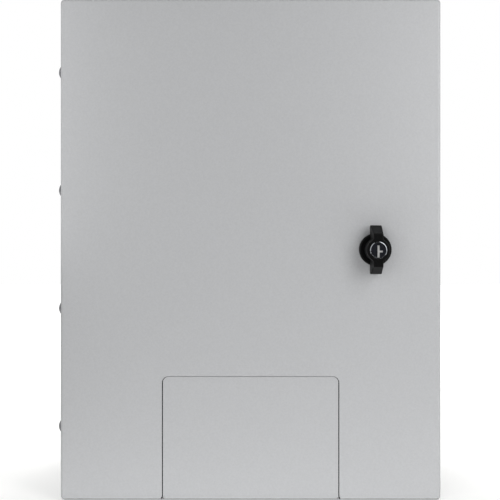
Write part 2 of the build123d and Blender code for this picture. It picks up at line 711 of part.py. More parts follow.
# Wing knob with its spindle; the wing stands upright and thins towards its crest
with BuildPart() as wing_knob:
    with BuildSketch(Plane.YZ.offset(lock_x)):
        with BuildLine():
            Polyline(
                (-hub_back, lock_height - wing_span / 2),
                (-door_front - wing_tip_front, lock_height - wing_span / 2),
                (-hub_face, lock_height - wing_crest / 2),
                (-hub_face, lock_height + wing_crest / 2),
                (-door_front - wing_tip_front, lock_height + wing_span / 2),
                (-hub_back, lock_height + wing_span / 2),
                close=True,
            )
        make_face()
    extrude(amount=wing_base_width / 2, both=True)
    with BuildSketch(Plane.XY.offset(lock_height)):
        with BuildLine():
            Polyline(
                (lock_x - wing_base_width / 2, -hub_back),
                (lock_x + wing_base_width / 2, -hub_back),
                (lock_x + wing_crest_width / 2, -hub_face),
                (lock_x - wing_crest_width / 2, -hub_face),
                close=True,
            )
        make_face()
    extrude(amount=wing_span / 2, both=True, mode=Mode.INTERSECT)
    with BuildSketch(from_wall(hub_back)):
        with Locations((lock_x, lock_height)):
            Circle(hub_diameter / 2)
    extrude(amount=hub_rise)
    fillet(wing_knob.edges().filter_by(GeomType.ELLIPSE), wing_root_radius)
    front_edges = wing_knob.edges().filter_by(lambda edge: edge.center().Y < -hub_back - wing_rounding)
    fillet(front_edges, wing_rounding)
    with BuildSketch(from_wall(hub_face - cylinder_length)):
        with Locations((lock_x, lock_height)):
            Circle(cylinder_diameter / 2)
    extrude(amount=cylinder_length, mode=Mode.SUBTRACT)
    with BuildSketch(from_wall(cam_front)):
        with Locations((lock_x, lock_height)):
            Circle(spindle_diameter / 2)
    extrude(amount=hub_back - cam_front)
    with BuildSketch(from_wall(cam_front)):
        with Locations((lock_x, lock_height)):
            Rectangle(spindle_square, spindle_square)
    extrude(amount=-cam_thickness)
    with BuildSketch(from_wall(cam_front - cam_thickness)):
        with Locations((lock_x, lock_height)):
            Circle(cam_screw_diameter / 2 + pin_clearance)
    extrude(amount=cam_screw_grip, mode=Mode.SUBTRACT)

# Bright sleeve of the key cylinder, pressed into the hub
with BuildPart() as cylinder_sleeve:
    with BuildSketch(from_wall(hub_face - cylinder_length)):
        with Locations((lock_x, lock_height)):
            Circle(cylinder_diameter / 2)
            Circle(cylinder_diameter / 2 - cylinder_wall, mode=Mode.SUBTRACT)
    extrude(amount=cylinder_length + cylinder_proud)

# Key plug with its keyway
with BuildPart() as key_plug:
    with BuildSketch(from_wall(hub_face - cylinder_length + hub_gap)):
        with Locations((lock_x, lock_height)):
            Circle(plug_radius)
    extrude(amount=plug_face - hub_face + cylinder_length - hub_gap)
    with BuildSketch(from_wall(plug_face - keyway_depth)):
        with Locations((lock_x, keyway_z)):
            Rectangle(keyway_width, keyway_height)
            Rectangle(
                keyway_width / 2 + keyway_nub_width, keyway_nub_height, align=(Align.MIN, Align.CENTER)
            )
    extrude(amount=keyway_depth, mode=Mode.SUBTRACT)

# Sprung shutter that fills the keyway while no key is in it
with BuildPart() as keyway_shutter:
    with BuildSketch(from_wall(plug_face - keyway_depth)):
        with Locations((lock_x, keyway_z)):
            Rectangle(keyway_width - 2 * shutter_clearance, keyway_height - 2 * shutter_clearance)
            Rectangle(
                keyway_width / 2 + keyway_nub_width - shutter_clearance,
                keyway_nub_height - 2 * shutter_clearance,
                align=(Align.MIN, Align.CENTER),
            )
    extrude(amount=keyway_depth - shutter_setback)

# Cranked cam: its tip swings behind the lip of the case
with BuildPart() as lock_cam:
    with BuildSketch(Plane.YZ.offset(lock_x)):
        with BuildLine():
            FilletPolyline(
                (-cam_front + cam_thickness / 2, lock_height + cam_head),
                (-cam_front + cam_thickness / 2, lock_height - cam_straight),
                (-cam_tip_front + cam_thickness / 2, lock_height - cam_straight - cam_crank),
                (-cam_tip_front + cam_thickness / 2, lock_height - cam_length),
                radius=cam_bend,
            )
        trace(line_width=cam_thickness)
    extrude(amount=cam_width / 2, both=True)
    upper_edges = lock_cam.edges().filter_by(Axis.Y).group_by(Axis.Z)[-1]
    fillet(upper_edges, cam_width / 2 - cam_thickness / 2)
    lower_edges = lock_cam.edges().filter_by(Axis.Y).group_by(Axis.Z)[0]
    fillet(lower_edges, cam_width / 2 - cam_thickness)
    with BuildSketch(from_wall(cam_front - 2 * cam_thickness)):
        with Locations((lock_x, lock_height)):
            Rectangle(spindle_square + 2 * square_clearance, spindle_square + 2 * square_clearance)
    extrude(amount=3 * cam_thickness, mode=Mode.SUBTRACT)

with BuildPart() as cam_washer:
    with BuildSketch(from_wall(cam_front - cam_thickness)):
        with Locations((lock_x, lock_height)):
            Circle(cam_washer_diameter / 2)
            Circle(cam_screw_diameter / 2 + hole_clearance, mode=Mode.SUBTRACT)
    extrude(amount=-cam_washer_thickness)

cam_screw_seat = cam_front - cam_thickness - cam_washer_thickness
with BuildPart() as cam_screw:
    with BuildSketch(from_wall(cam_screw_seat)):
        with Locations((lock_x, lock_height)):
            RegularPolygon(hexagon_radius(cam_screw_head_across), 6)
    extrude(amount=-cam_screw_head_height)
    with BuildSketch(from_wall(cam_screw_seat)):
        with Locations((lock_x, lock_height)):
            Circle(cam_screw_diameter / 2)
    extrude(amount=cam_washer_thickness + cam_screw_grip)

pieces = {
    "case_wrapper": case_wrapper,
    "case_back": case_back,
    "plate_studs": plate_studs,
    "mounting_plate": mounting_plate,
    "plate_washers": plate_washers,
    "plate_nuts": plate_nuts,
    "gland_gasket": gland_gasket,
    "gland_plate": gland_plate,
    "gland_studs": gland_studs,
    "gland_nuts": gland_nuts,
    "case_earth_stud": case_earth_stud,
    "case_earth_washer": case_earth_washer,
    "case_earth_nut": case_earth_nut,
    "hinge_leaf_case": hinge_leaf_case,
    "hinge_leaf_door": hinge_leaf_door,
    "hinge_pin": hinge_pin,
    "hinge_rivets": hinge_rivets,
    "hinge_screws": hinge_screws,
    "hinge_nuts": hinge_nuts,
    "door_panel": door_panel,
    "door_gasket": door_gasket,
    "flap_stops": flap_stops,
    "flap_lugs": flap_lugs,
    "flap_pins": flap_pins,
    "flap_panel": flap_panel,
    "flap_arms": flap_arms,
    "flap_gasket": flap_gasket,
    "door_earth_stud": door_earth_stud,
    "door_earth_washer": door_earth_washer,
    "door_earth_nut": door_earth_nut,
    "lock_housing": lock_housing,
    "lock_seal": lock_seal,
    "lock_nut": lock_nut,
    "wing_knob": wing_knob,
    "cylinder_sleeve": cylinder_sleeve,
    "key_plug": key_plug,
    "keyway_shutter": keyway_shutter,
    "lock_cam": lock_cam,
    "cam_washer": cam_washer,
    "cam_screw": cam_screw,
}

os.makedirs("parts", exist_ok=True)
for label, piece in pieces.items():
    piece.part.label = label
    export_step(piece.part, "parts/" + label + ".step")
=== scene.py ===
import json
import math
import bmesh
import bpy
import numpy as np
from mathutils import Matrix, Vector


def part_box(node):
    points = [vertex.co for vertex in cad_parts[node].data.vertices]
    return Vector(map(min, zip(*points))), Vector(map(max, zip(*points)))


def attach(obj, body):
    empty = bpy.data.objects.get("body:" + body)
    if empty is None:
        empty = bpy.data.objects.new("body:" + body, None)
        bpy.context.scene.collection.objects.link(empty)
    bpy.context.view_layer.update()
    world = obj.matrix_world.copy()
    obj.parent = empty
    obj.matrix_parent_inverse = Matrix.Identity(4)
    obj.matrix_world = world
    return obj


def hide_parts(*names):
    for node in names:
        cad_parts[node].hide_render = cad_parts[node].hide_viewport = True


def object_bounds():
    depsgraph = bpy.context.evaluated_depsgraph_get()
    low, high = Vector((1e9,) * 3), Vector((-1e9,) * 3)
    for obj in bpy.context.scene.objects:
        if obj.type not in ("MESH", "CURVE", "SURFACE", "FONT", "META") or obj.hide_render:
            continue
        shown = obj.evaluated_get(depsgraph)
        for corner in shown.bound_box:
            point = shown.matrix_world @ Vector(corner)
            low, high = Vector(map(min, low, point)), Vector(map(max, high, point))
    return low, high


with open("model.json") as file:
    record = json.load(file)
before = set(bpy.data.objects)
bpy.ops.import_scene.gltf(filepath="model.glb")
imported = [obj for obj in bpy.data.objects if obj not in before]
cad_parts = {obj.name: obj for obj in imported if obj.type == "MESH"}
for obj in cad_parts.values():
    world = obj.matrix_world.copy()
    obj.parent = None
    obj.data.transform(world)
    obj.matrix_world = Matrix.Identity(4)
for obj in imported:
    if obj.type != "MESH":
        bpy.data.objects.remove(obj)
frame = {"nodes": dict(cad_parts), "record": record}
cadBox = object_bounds()
nodes = frame["nodes"]
scene = bpy.context.scene
mm = 0.001  # the script is in metres, the sizes of pieces, grain and picture are in millimetres
print("frame loaded,", len(nodes), "nodes")


# Shapes: a shell is (points, list of face arrays), made on a grid and always closed

def gridShell(grid, wrapRows=False, wrapCols=False, capRows=False):
    # grid is rows x columns x 3. Neighbouring points are joined in quads, a wrapped side joins its last
    # line to its first, and a capped end row is closed by a fan of triangles round its own middle.
    rows, cols = grid.shape[:2]
    row = np.arange(rows if wrapRows else rows - 1)[:, None]
    col = np.arange(cols if wrapCols else cols - 1)[None, :]
    nextRow, nextCol = (row + 1) % rows, (col + 1) % cols
    quads = [row * cols + col, nextRow * cols + col, nextRow * cols + nextCol, row * cols + nextCol]
    points, faces = grid.reshape(-1, 3), [np.stack(quads, -1).reshape(-1, 4)]
    if capRows:
        ring = np.arange(cols)
        for end, pole in ((0, len(points)), (rows - 1, len(points) + 1)):
            edge = end * cols + ring
            faces.append(np.stack([edge, np.roll(edge, -1), np.full(cols, pole)], -1))
        points = np.concatenate([points, grid[:1].mean(1), grid[-1:].mean(1)])
    return points, faces


def placed(local, origin, along):
    # Local points are (across, across, along the axis). The axis is one of the frame's, either way round.
    axis = np.array(along, float)
    first = np.roll(np.abs(axis), 1)
    second = np.cross(axis, first)
    return np.array(origin) + local[..., :1] * first + local[..., 1:2] * second + local[..., 2:] * axis


def turned(radii, heights, origin, along, ring=False, steps=48, turn=0.0):
    # Surface of revolution: a point is (r cos a, r sin a, h). radii and heights are one line of the profile,
    # or rows x steps where the outline isn't round. ring says that the profile closes on itself.
    angle = np.arange(steps) * 2 * np.pi / steps + turn
    radii, heights = (np.array(a, float) for a in (radii, heights))
    radii, heights = (a[:, None] if a.ndim == 1 else a for a in (radii, heights))
    radii, heights = np.broadcast_arrays(radii, heights, angle[None, :])[:2]
    local = np.stack([radii * np.cos(angle), radii * np.sin(angle), heights], -1) * mm
    return gridShell(placed(local, origin, along), wrapRows=ring, wrapCols=True, capRows=not ring)


def addPiece(name, shells, body, slotName, standsFor, finish=None, crease=32):
    # All shells go into one mesh at the origin, faces outward, smooth except over creases. The finish is
    # that of the slot unless another is given.
    faces, start = [], 0
    for points, blocks in shells:
        faces += [face for block in blocks for face in (block + start).tolist()]
        start += len(points)
    mesh = bpy.data.meshes.new(name)
    mesh.from_pydata(np.concatenate([points for points, blocks in shells]), [], faces)
    work = bmesh.new()
    work.from_mesh(mesh)
    bmesh.ops.recalc_face_normals(work, faces=work.faces)
    work.to_mesh(mesh)
    work.free()
    mesh.shade_smooth()
    mesh.set_sharp_from_angle(angle=math.radians(crease))
    mesh.materials.append(finish or finishes[slotName])
    piece = bpy.data.objects.new(name, mesh)
    scene.collection.objects.link(piece)
    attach(piece, body)
    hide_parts(standsFor)
    return piece


def middle(node):
    low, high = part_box(node)
    return (low + high) / 2


# Finishes: every pattern reads Object coordinates, in metres, so a scale is one over a real size

def linear(hexColour):
    srgb = np.array([int(hexColour[i:i + 2], 16) for i in (1, 3, 5)]) / 255
    value = np.where(srgb <= 0.04045, srgb / 12.92, ((srgb + 0.055) / 1.055) ** 2.4)
    return (*value.tolist(), 1.0)


def addNode(tree, kind, inputs, **settings):
    # settings are the node's own properties; an input is a value or the output socket that feeds it
    node = tree.nodes.new(kind)
    for key, value in settings.items():
        setattr(node, key, value)
    for key, value in inputs.items():
        if isinstance(value, bpy.types.NodeSocket):
            tree.links.new(value, node.inputs[key])
        else:
            node.inputs[key].default_value = value
    return node


def startFinish(name, shaderValues):
    finish = bpy.data.materials.new(name)
    finish.use_nodes = True
    tree = finish.node_tree
    for key, value in shaderValues.items():
        tree.nodes["Principled BSDF"].inputs[key].default_value = value
    place = addNode(tree, "ShaderNodeTexCoord", {}).outputs["Object"]
    return finish, tree, place


def dress(tree, look, share, shine, height):
    # The end that all finishes have: two colours mixed by share, a roughness that goes from the first of its
    # two values to the second with shine, and a bump of the height pattern. Share and shine run from 0 to 1.
    colour = addNode(tree, "ShaderNodeMix", {0: share, 6: linear(look["dark"]), 7: linear(look["light"])},
                     data_type="RGBA")
    rough = addNode(tree, "ShaderNodeMapRange", {"Value": shine, "To Min": look["rough"][0],
                                                 "To Max": look["rough"][1]})
    bump = addNode(tree, "ShaderNodeBump", {"Height": height, "Strength": look["bump"],
                                            "Distance": look["depthMm"] * mm},
                   invert=look.get("sunken", False))
    shader = tree.nodes["Principled BSDF"]
    tree.links.new(colour.outputs[2], shader.inputs["Base Color"])
    tree.links.new(rough.outputs[0], shader.inputs["Roughness"])
    tree.links.new(bump.outputs["Normal"], shader.inputs["Normal"])


noiseSpread = {"From Min": 0.3, "From Max": 0.7}  # what a noise pattern really fills of its range


def powderCoat():
    # Polyester powder coat on sheet steel, sprayed and baked: a satin light grey whose leathery grain breaks
    # up highlights, with a slow unevenness of the film that shows only in its shine. The grain is really
    # about a millimetre across and is drawn coarser so that it shows.
    look = {"grainMm": 1.7, "flowMm": 14, "dark": "#b6b7b9", "light": "#bcbdbf", "rough": (0.48, 0.58),
            "bump": 0.7, "depthMm": 0.09}
    finish, tree, place = startFinish("powderCoat", {"IOR": 1.5})
    grain = addNode(tree, "ShaderNodeTexNoise", {"Vector": place, "Scale": 1 / (look["grainMm"] * mm),
                                                 "Detail": 2.5, "Roughness": 0.6}).outputs["Fac"]
    flow = addNode(tree, "ShaderNodeTexNoise", {"Vector": place, "Scale": 1 / (look["flowMm"] * mm),
                                                "Detail": 3.0}).outputs["Fac"]
    share = addNode(tree, "ShaderNodeMapRange", {"Value": grain, **noiseSpread}).outputs[0]
    shine = addNode(tree, "ShaderNodeMapRange", {"Value": flow, **noiseSpread}).outputs[0]
    dress(tree, look, share, shine, grain)
    return finish


def zincPlate():
    # Zinc-plated steel, bright dipped and passivated: a bluish metal that yellows in clouds, dulled by fine
    # pits.
    look = {"cloudMm": 6, "pitMm": 0.5, "dark": "#c3c9cf", "light": "#d6d3c8", "rough": (0.26, 0.42),
            "bump": 0.3, "depthMm": 0.02}
    finish, tree, place = startFinish("zincPlate", {"Metallic": 1.0})
    cloud = addNode(tree, "ShaderNodeTexNoise", {"Vector": place, "Scale": 1 / (look["cloudMm"] * mm),
                                                 "Detail": 3.0}).outputs["Fac"]
    pits = addNode(tree, "ShaderNodeTexNoise", {"Vector": place, "Scale": 1 / (look["pitMm"] * mm),
                                                "Detail": 2.0}).outputs["Fac"]
    share = addNode(tree, "ShaderNodeMapRange", {"Value": cloud, "From Min": 0.35,
                                                 "From Max": 0.65}).outputs[0]
    shine = addNode(tree, "ShaderNodeMapRange", {"Value": pits, **noiseSpread}).outputs[0]
    dress(tree, look, share, shine, pits)
    return finish


def galvanisedSheet():
    # Hot-dip galvanised sheet: zinc crystals that froze in patches about a centimetre across, each with its
    # own grey and its own shine, with feathery borders.
    look = {"spangleMm": 11, "featherMm": 2.5, "wanderMm": 5, "dark": "#a4a8ab", "light": "#b6babc",
            "rough": (0.38, 0.5), "bump": 0.15, "depthMm": 0.05}
    finish, tree, place = startFinish("galvanisedSheet", {"Metallic": 1.0})
    feather = addNode(tree, "ShaderNodeTexNoise", {"Vector": place, "Scale": 1 / (look["featherMm"] * mm),
                                                   "Detail": 3.0}).outputs["Color"]
    wander = addNode(tree, "ShaderNodeVectorMath", {0: feather, 1: (look["wanderMm"] * mm,) * 3, 2: place},
                     operation="MULTIPLY_ADD").outputs[0]
    spangle = addNode(tree, "ShaderNodeTexVoronoi", {"Vector": wander,
                                                     "Scale": 1 / (look["spangleMm"] * mm)})
    crystal = addNode(tree, "ShaderNodeSeparateColor", {"Color": spangle.outputs["Color"]})
    dress(tree, look, crystal.outputs["Red"], crystal.outputs["Green"], spangle.outputs["Distance"])
    return finish


def brushedStainless():
    # Cold-rolled stainless sheet, brushed along its length: a warm grey drawn out into long fine scratches.
    look = {"scratchMm": 0.3, "strokeMm": 20, "dark": "#a5a39e", "light": "#c1bfb9", "rough": (0.24, 0.4),
            "bump": 0.2, "depthMm": 0.02}
    finish, tree, place = startFinish("brushedStainless", {"Metallic": 1.0})
    across, lengthwise = 1 / (look["scratchMm"] * mm), 1 / (look["strokeMm"] * mm)
    drawn = addNode(tree, "ShaderNodeMapping", {"Vector": place,
                                                "Scale": (across, across, lengthwise)}).outputs[0]
    stroke = addNode(tree, "ShaderNodeTexNoise", {"Vector": drawn, "Scale": 1.0,
                                                  "Detail": 3.0}).outputs["Fac"]
    share = addNode(tree, "ShaderNodeMapRange", {"Value": stroke, **noiseSpread}).outputs[0]
    dress(tree, look, share, share, stroke)
    return finish


def dullSteel():
    # Plain forged steel, tumbled and oiled: mid grey with darker oxide clouds, a soft wide highlight.
    look = {"cloudMm": 2.5, "pitMm": 0.4, "dark": "#56565a", "light": "#808084", "rough": (0.55, 0.4),
            "bump": 0.25, "depthMm": 0.03}
    finish, tree, place = startFinish("dullSteel", {"Metallic": 1.0})
    cloud = addNode(tree, "ShaderNodeTexNoise", {"Vector": place, "Scale": 1 / (look["cloudMm"] * mm),
                                                 "Detail": 4.0}).outputs["Fac"]
    pits = addNode(tree, "ShaderNodeTexNoise", {"Vector": place,
                                                "Scale": 1 / (look["pitMm"] * mm)}).outputs["Fac"]
    share = addNode(tree, "ShaderNodeMapRange", {"Value": cloud, **noiseSpread}).outputs[0]
    dress(tree, look, share, share, pits)
    return finish


def blackNylon():
    # Glass-filled nylon, injection moulded in a spark-eroded tool: nearly black, with a fine matt grain and
    # pale specks of fibre that lift its edges to grey.
    look = {"grainMm": 0.5, "speckMm": 0.25, "dark": "#060606", "light": "#101011", "rough": (0.36, 0.5),
            "bump": 0.4, "depthMm": 0.03}
    finish, tree, place = startFinish("blackNylon", {"IOR": 1.53, "Specular IOR Level": 0.1})
    grain = addNode(tree, "ShaderNodeTexNoise", {"Vector": place, "Scale": 1 / (look["grainMm"] * mm),
                                                 "Detail": 2.0}).outputs["Fac"]
    speck = addNode(tree, "ShaderNodeTexNoise", {"Vector": place,
                                                 "Scale": 1 / (look["speckMm"] * mm)}).outputs["Fac"]
    share = addNode(tree, "ShaderNodeMapRange", {"Value": speck, "From Min": 0.5,
                                                 "From Max": 0.75}).outputs[0]
    shine = addNode(tree, "ShaderNodeMapRange", {"Value": grain, **noiseSpread}).outputs[0]
    dress(tree, look, share, shine, grain)
    return finish


def polishedChrome():
    # Dark chrome plate over polished brass: a smoky mirror with a faint smear.
    look = {"smearMm": 3, "dark": "#808286", "light": "#909296", "rough": (0.14, 0.06), "bump": 0.05,
            "depthMm": 0.02}
    finish, tree, place = startFinish("polishedChrome", {"Metallic": 1.0})
    smear = addNode(tree, "ShaderNodeTexNoise", {"Vector": place, "Scale": 1 / (look["smearMm"] * mm),
                                                 "Detail": 3.0}).outputs["Fac"]
    share = addNode(tree, "ShaderNodeMapRange", {"Value": smear, **noiseSpread}).outputs[0]
    dress(tree, look, share, share, smear)
    return finish


def blackenedCasting():
    # Zinc die casting, blackened and lacquered: blue-black satin, slightly rubbed.
    look = {"rubMm": 1.5, "dark": "#0b0c11", "light": "#191b23", "rough": (0.4, 0.28), "bump": 0.15,
            "depthMm": 0.02}
    finish, tree, place = startFinish("blackenedCasting", {"IOR": 1.5, "Specular IOR Level": 0.2})
    rub = addNode(tree, "ShaderNodeTexNoise", {"Vector": place, "Scale": 1 / (look["rubMm"] * mm),
                                               "Detail": 4.0}).outputs["Fac"]
    share = addNode(tree, "ShaderNodeMapRange", {"Value": rub, "From Min": 0.35, "From Max": 0.7}).outputs[0]
    dress(tree, look, share, share, rub)
    return finish


def stampedSteel():
    # Bright stamped spring steel: pale metal with fine lines across it from the strip's rolling.
    look = {"lineMm": 0.15, "strokeMm": 6, "dark": "#bababa", "light": "#cccccb", "rough": (0.7, 0.5),
            "bump": 0.15, "depthMm": 0.02}
    finish, tree, place = startFinish("stampedSteel", {"Metallic": 1.0})
    along, upright = 1 / (look["strokeMm"] * mm), 1 / (look["lineMm"] * mm)
    drawn = addNode(tree, "ShaderNodeMapping", {"Vector": place,
                                                "Scale": (along, along, upright)}).outputs[0]
    line = addNode(tree, "ShaderNodeTexNoise", {"Vector": drawn, "Scale": 1.0, "Detail": 2.0}).outputs["Fac"]
    share = addNode(tree, "ShaderNodeMapRange", {"Value": line, **noiseSpread}).outputs[0]
    dress(tree, look, share, share, line)
    return finish


def pouredFoam():
    # Polyurethane foam poured as a bead and cured in air: black with a dry skin, dimpled by cells under it.
    # The cells are drawn near a millimetre, twice their real size, so that they show.
    look = {"cellMm": 0.9, "dark": "#111112", "light": "#262627", "rough": (0.95, 0.78), "bump": 0.5,
            "depthMm": 0.12, "sunken": True}
    finish, tree, place = startFinish("pouredFoam", {"IOR": 1.4})
    cell = addNode(tree, "ShaderNodeTexVoronoi", {"Vector": place, "Scale": 1 / (look["cellMm"] * mm)},
                   feature="SMOOTH_F1").outputs["Distance"]
    share = addNode(tree, "ShaderNodeMapRange", {"Value": cell, "From Min": 0.1, "From Max": 0.6,
                                                 "To Min": 1.0, "To Max": 0.0}).outputs[0]
    dress(tree, look, share, share, cell)
    return finish


def sheetRubber():
    # Calendered neoprene sheet, die cut: charcoal with a faint talc bloom.
    look = {"bloomMm": 4, "grainMm": 0.6, "dark": "#151515", "light": "#272727", "rough": (0.6, 0.8),
            "bump": 0.25, "depthMm": 0.05}
    finish, tree, place = startFinish("sheetRubber", {"IOR": 1.5})
    bloom = addNode(tree, "ShaderNodeTexNoise", {"Vector": place, "Scale": 1 / (look["bloomMm"] * mm),
                                                 "Detail": 4.0}).outputs["Fac"]
    grain = addNode(tree, "ShaderNodeTexNoise", {"Vector": place,
                                                 "Scale": 1 / (look["grainMm"] * mm)}).outputs["Fac"]
    share = addNode(tree, "ShaderNodeMapRange", {"Value": bloom, "From Min": 0.35,
                                                 "From Max": 0.7}).outputs[0]
    dress(tree, look, share, share, grain)
    return finish


finishes = {
    "powder_coat": powderCoat(),
    "zinc_plate": zincPlate(),
    "galvanised_sheet": galvanisedSheet(),
    "stainless_hinge": brushedStainless(),
    "dull_steel": dullSteel(),
    "black_moulding": blackNylon(),
    "chrome_ring": polishedChrome(),
    "plug_black": blackenedCasting(),
    "shutter_steel": stampedSteel(),
    "sealing_foam": pouredFoam(),
}
rubber = sheetRubber()
print("finishes made:", len(finishes) + 1)

# Camera: straight in front of the door, close enough for the lens to hide the sides of the case
viewpoint = {"standOff": 900, "pictureWidth": 496.5, "aimX": -0.6, "aimZ": -0.5, "eyeRise": 25,
             "sensor": 36.0}
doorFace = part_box("door_panel")[0].y
lens = bpy.data.cameras.new("frontCamera")
lens.sensor_width = viewpoint["sensor"]
lens.lens = viewpoint["sensor"] * viewpoint["standOff"] / viewpoint["pictureWidth"]
lens.shift_y = (viewpoint["aimZ"] - viewpoint["eyeRise"]) / viewpoint["pictureWidth"]
camera = bpy.data.objects.new("frontCamera", lens)
camera.location = (viewpoint["aimX"] * mm, doorFace - viewpoint["standOff"] * mm, viewpoint["eyeRise"] * mm)
camera.rotation_euler = (math.pi / 2, 0, 0)
scene.collection.objects.link(camera)
scene.camera = camera

# Light, in metres: a dim even room, a soft box high on the right in front, a broad dim one on the left, a
# pale card beside each edge of the door and the bright table at its foot, which mirrors don't show, then a
# box above and one behind for the sides that face away
softBoxes = [
    {"name": "rightBox", "place": (0.55, -0.85, 0.34), "aim": (0, -0.2, 0), "size": (0.36, 0.9),
     "watts": 3.75},
    {"name": "leftBox", "place": (-0.45, -0.95, 0.30), "aim": (0, -0.2, 0), "size": (0.8, 0.8),
     "watts": 2.82},
    {"name": "rightCard", "place": (0.249, -0.30, 0.14), "aim": (0, -0.30, 0.14), "size": (0.2, 0.3),
     "watts": 0.075},
    {"name": "leftCard", "place": (-0.219, -0.25, 0.14), "aim": (0, -0.25, 0.14), "size": (0.1, 0.3),
     "watts": 0.048},
    {"name": "tableGlow", "place": (0.22, -0.352, -0.2495), "aim": (0.22, -0.352, 0), "size": (0.95, 0.30),
     "watts": 0.82, "mirrored": False},
    {"name": "topBox", "place": (0, 0.50, 1.10), "aim": (0, -0.05, 0), "size": (0.8, 0.5), "watts": 7.4},
    {"name": "rearBox", "place": (0, 1.30, 0.60), "aim": (0, 0, 0), "size": (1.2, 0.8), "watts": 12.0},
]
for box in softBoxes:
    lamp = bpy.data.lights.new(box["name"], "AREA")
    lamp.shape = "RECTANGLE"
    lamp.size, lamp.size_y = box["size"]
    lamp.energy = box["watts"]
    lampObject = bpy.data.objects.new(box["name"], lamp)
    lampObject.location = box["place"]
    towards = Vector(box["aim"]) - Vector(box["place"])
    lampObject.rotation_euler = towards.to_track_quat("-Z", "Y").to_euler()
    lampObject.visible_camera = False
    lampObject.visible_glossy = box.get("mirrored", True)
    scene.collection.objects.link(lampObject)


def seenDirectly(tree):
    # one for rays that show the background itself: camera, mirror and glass rays
    path = addNode(tree, "ShaderNodeLightPath", {})
    mirrored = addNode(tree, "ShaderNodeMath", {0: path.outputs["Is Camera Ray"],
                                                1: path.outputs["Is Glossy Ray"]}, operation="MAXIMUM")
    return addNode(tree, "ShaderNodeMath", {0: mirrored.outputs[0], 1: path.outputs["Is Transmission Ray"]},
                   operation="MAXIMUM").outputs[0]


def addSheet(name, sheetCorners, finish):
    # a flat sheet of the stage, from its four corners
    mesh = bpy.data.meshes.new(name)
    mesh.from_pydata(sheetCorners, [], [(0, 1, 2, 3)])
    mesh.materials.append(finish)
    sheet = bpy.data.objects.new(name, mesh)
    scene.collection.objects.link(sheet)
    return sheet


room = {"ambient": 0.12, "floorColour": "#e6e6e4", "floorSpan": 6.0, "nearGlow": 0.42, "farGlow": 1.0,
        "fadeFrom": 0.5, "fadeTo": 1.7}
white = (1, 1, 1, 1)
world = bpy.data.worlds.new("whiteRoom")
world.use_nodes = True
scene.world = world
sky = world.node_tree
sky.nodes.clear()
ambient = addNode(sky, "ShaderNodeBackground", {"Color": white, "Strength": room["ambient"]})
backdrop = addNode(sky, "ShaderNodeBackground", {"Color": white, "Strength": 1.0})
skyMix = addNode(sky, "ShaderNodeMixShader", {0: seenDirectly(sky), 1: ambient.outputs[0],
                                              2: backdrop.outputs[0]})
addNode(sky, "ShaderNodeOutputWorld", {"Surface": skyMix.outputs[0]})

# Near the object the floor keeps its shadow, and with the distance it fades into the white room
paleFloor, floorTree, floorPlace = startFinish("paleFloor", {
    "Roughness": 0.9, "Base Color": linear(room["floorColour"]), "Emission Color": white})
away = addNode(floorTree, "ShaderNodeVectorMath", {0: floorPlace}, operation="LENGTH").outputs["Value"]
fade = addNode(floorTree, "ShaderNodeMapRange", {
    "Value": away, "From Min": room["fadeFrom"], "From Max": room["fadeTo"], "To Min": room["nearGlow"],
    "To Max": room["farGlow"]})
floorGlow = addNode(floorTree, "ShaderNodeMath", {0: seenDirectly(floorTree), 1: fade.outputs[0]},
                    operation="MULTIPLY")
floorTree.links.new(floorGlow.outputs[0], floorTree.nodes["Principled BSDF"].inputs["Emission Strength"])
floorHeight, half = cadBox[0].z, room["floorSpan"] / 2
floorCorners = ((-half, -half), (half, -half), (half, half), (-half, half))
addSheet("paleFloor", [(x, y, floorHeight) for x, y in floorCorners], paleFloor)

# The unlit side of the studio behind the camera, and a patch of painted shade over the lit table before the
# lock, which gives the rim of the lock a painted dark reflection there: only shiny surfaces that face them
# show them
darkSide = {"span": 4.4, "rise": 3.0, "distance": 1.5, "colour": "#101010"}
mirrorShadePatch = {"left": -0.30, "right": 0.55, "near": -0.42, "far": -1.2, "rise": 0.001}
sideHalf, sideTop = darkSide["span"] / 2, floorHeight + darkSide["rise"]
sideY = doorFace - darkSide["distance"]
sideCorners = ((-sideHalf, floorHeight), (sideHalf, floorHeight), (sideHalf, sideTop), (-sideHalf, sideTop))
patchHeight = floorHeight + mirrorShadePatch["rise"]
patchCorners = (("left", "far"), ("right", "far"), ("right", "near"), ("left", "near"))
# one dark finish for both sheets: painted shade that only reflections show
shadeSeenInMirrors = startFinish("shadeSeenInMirrors", {"Roughness": 1.0, "Base Color": linear(darkSide["colour"])})[0]
for sheet in (addSheet("darkSide", [(x, sideY, z) for x, z in sideCorners], shadeSeenInMirrors),
              addSheet("mirrorShadePatch", [(mirrorShadePatch[x], mirrorShadePatch[y], patchHeight) for x, y in patchCorners], shadeSeenInMirrors)):
    sheet.visible_camera = False
    sheet.visible_diffuse = False
    sheet.visible_shadow = False
    sheet.visible_transmission = False
scene.view_settings.view_transform = "Standard"
print("camera, light and floor set")


# Sealing: beads of foam, a flat gasket and a ring under the lock

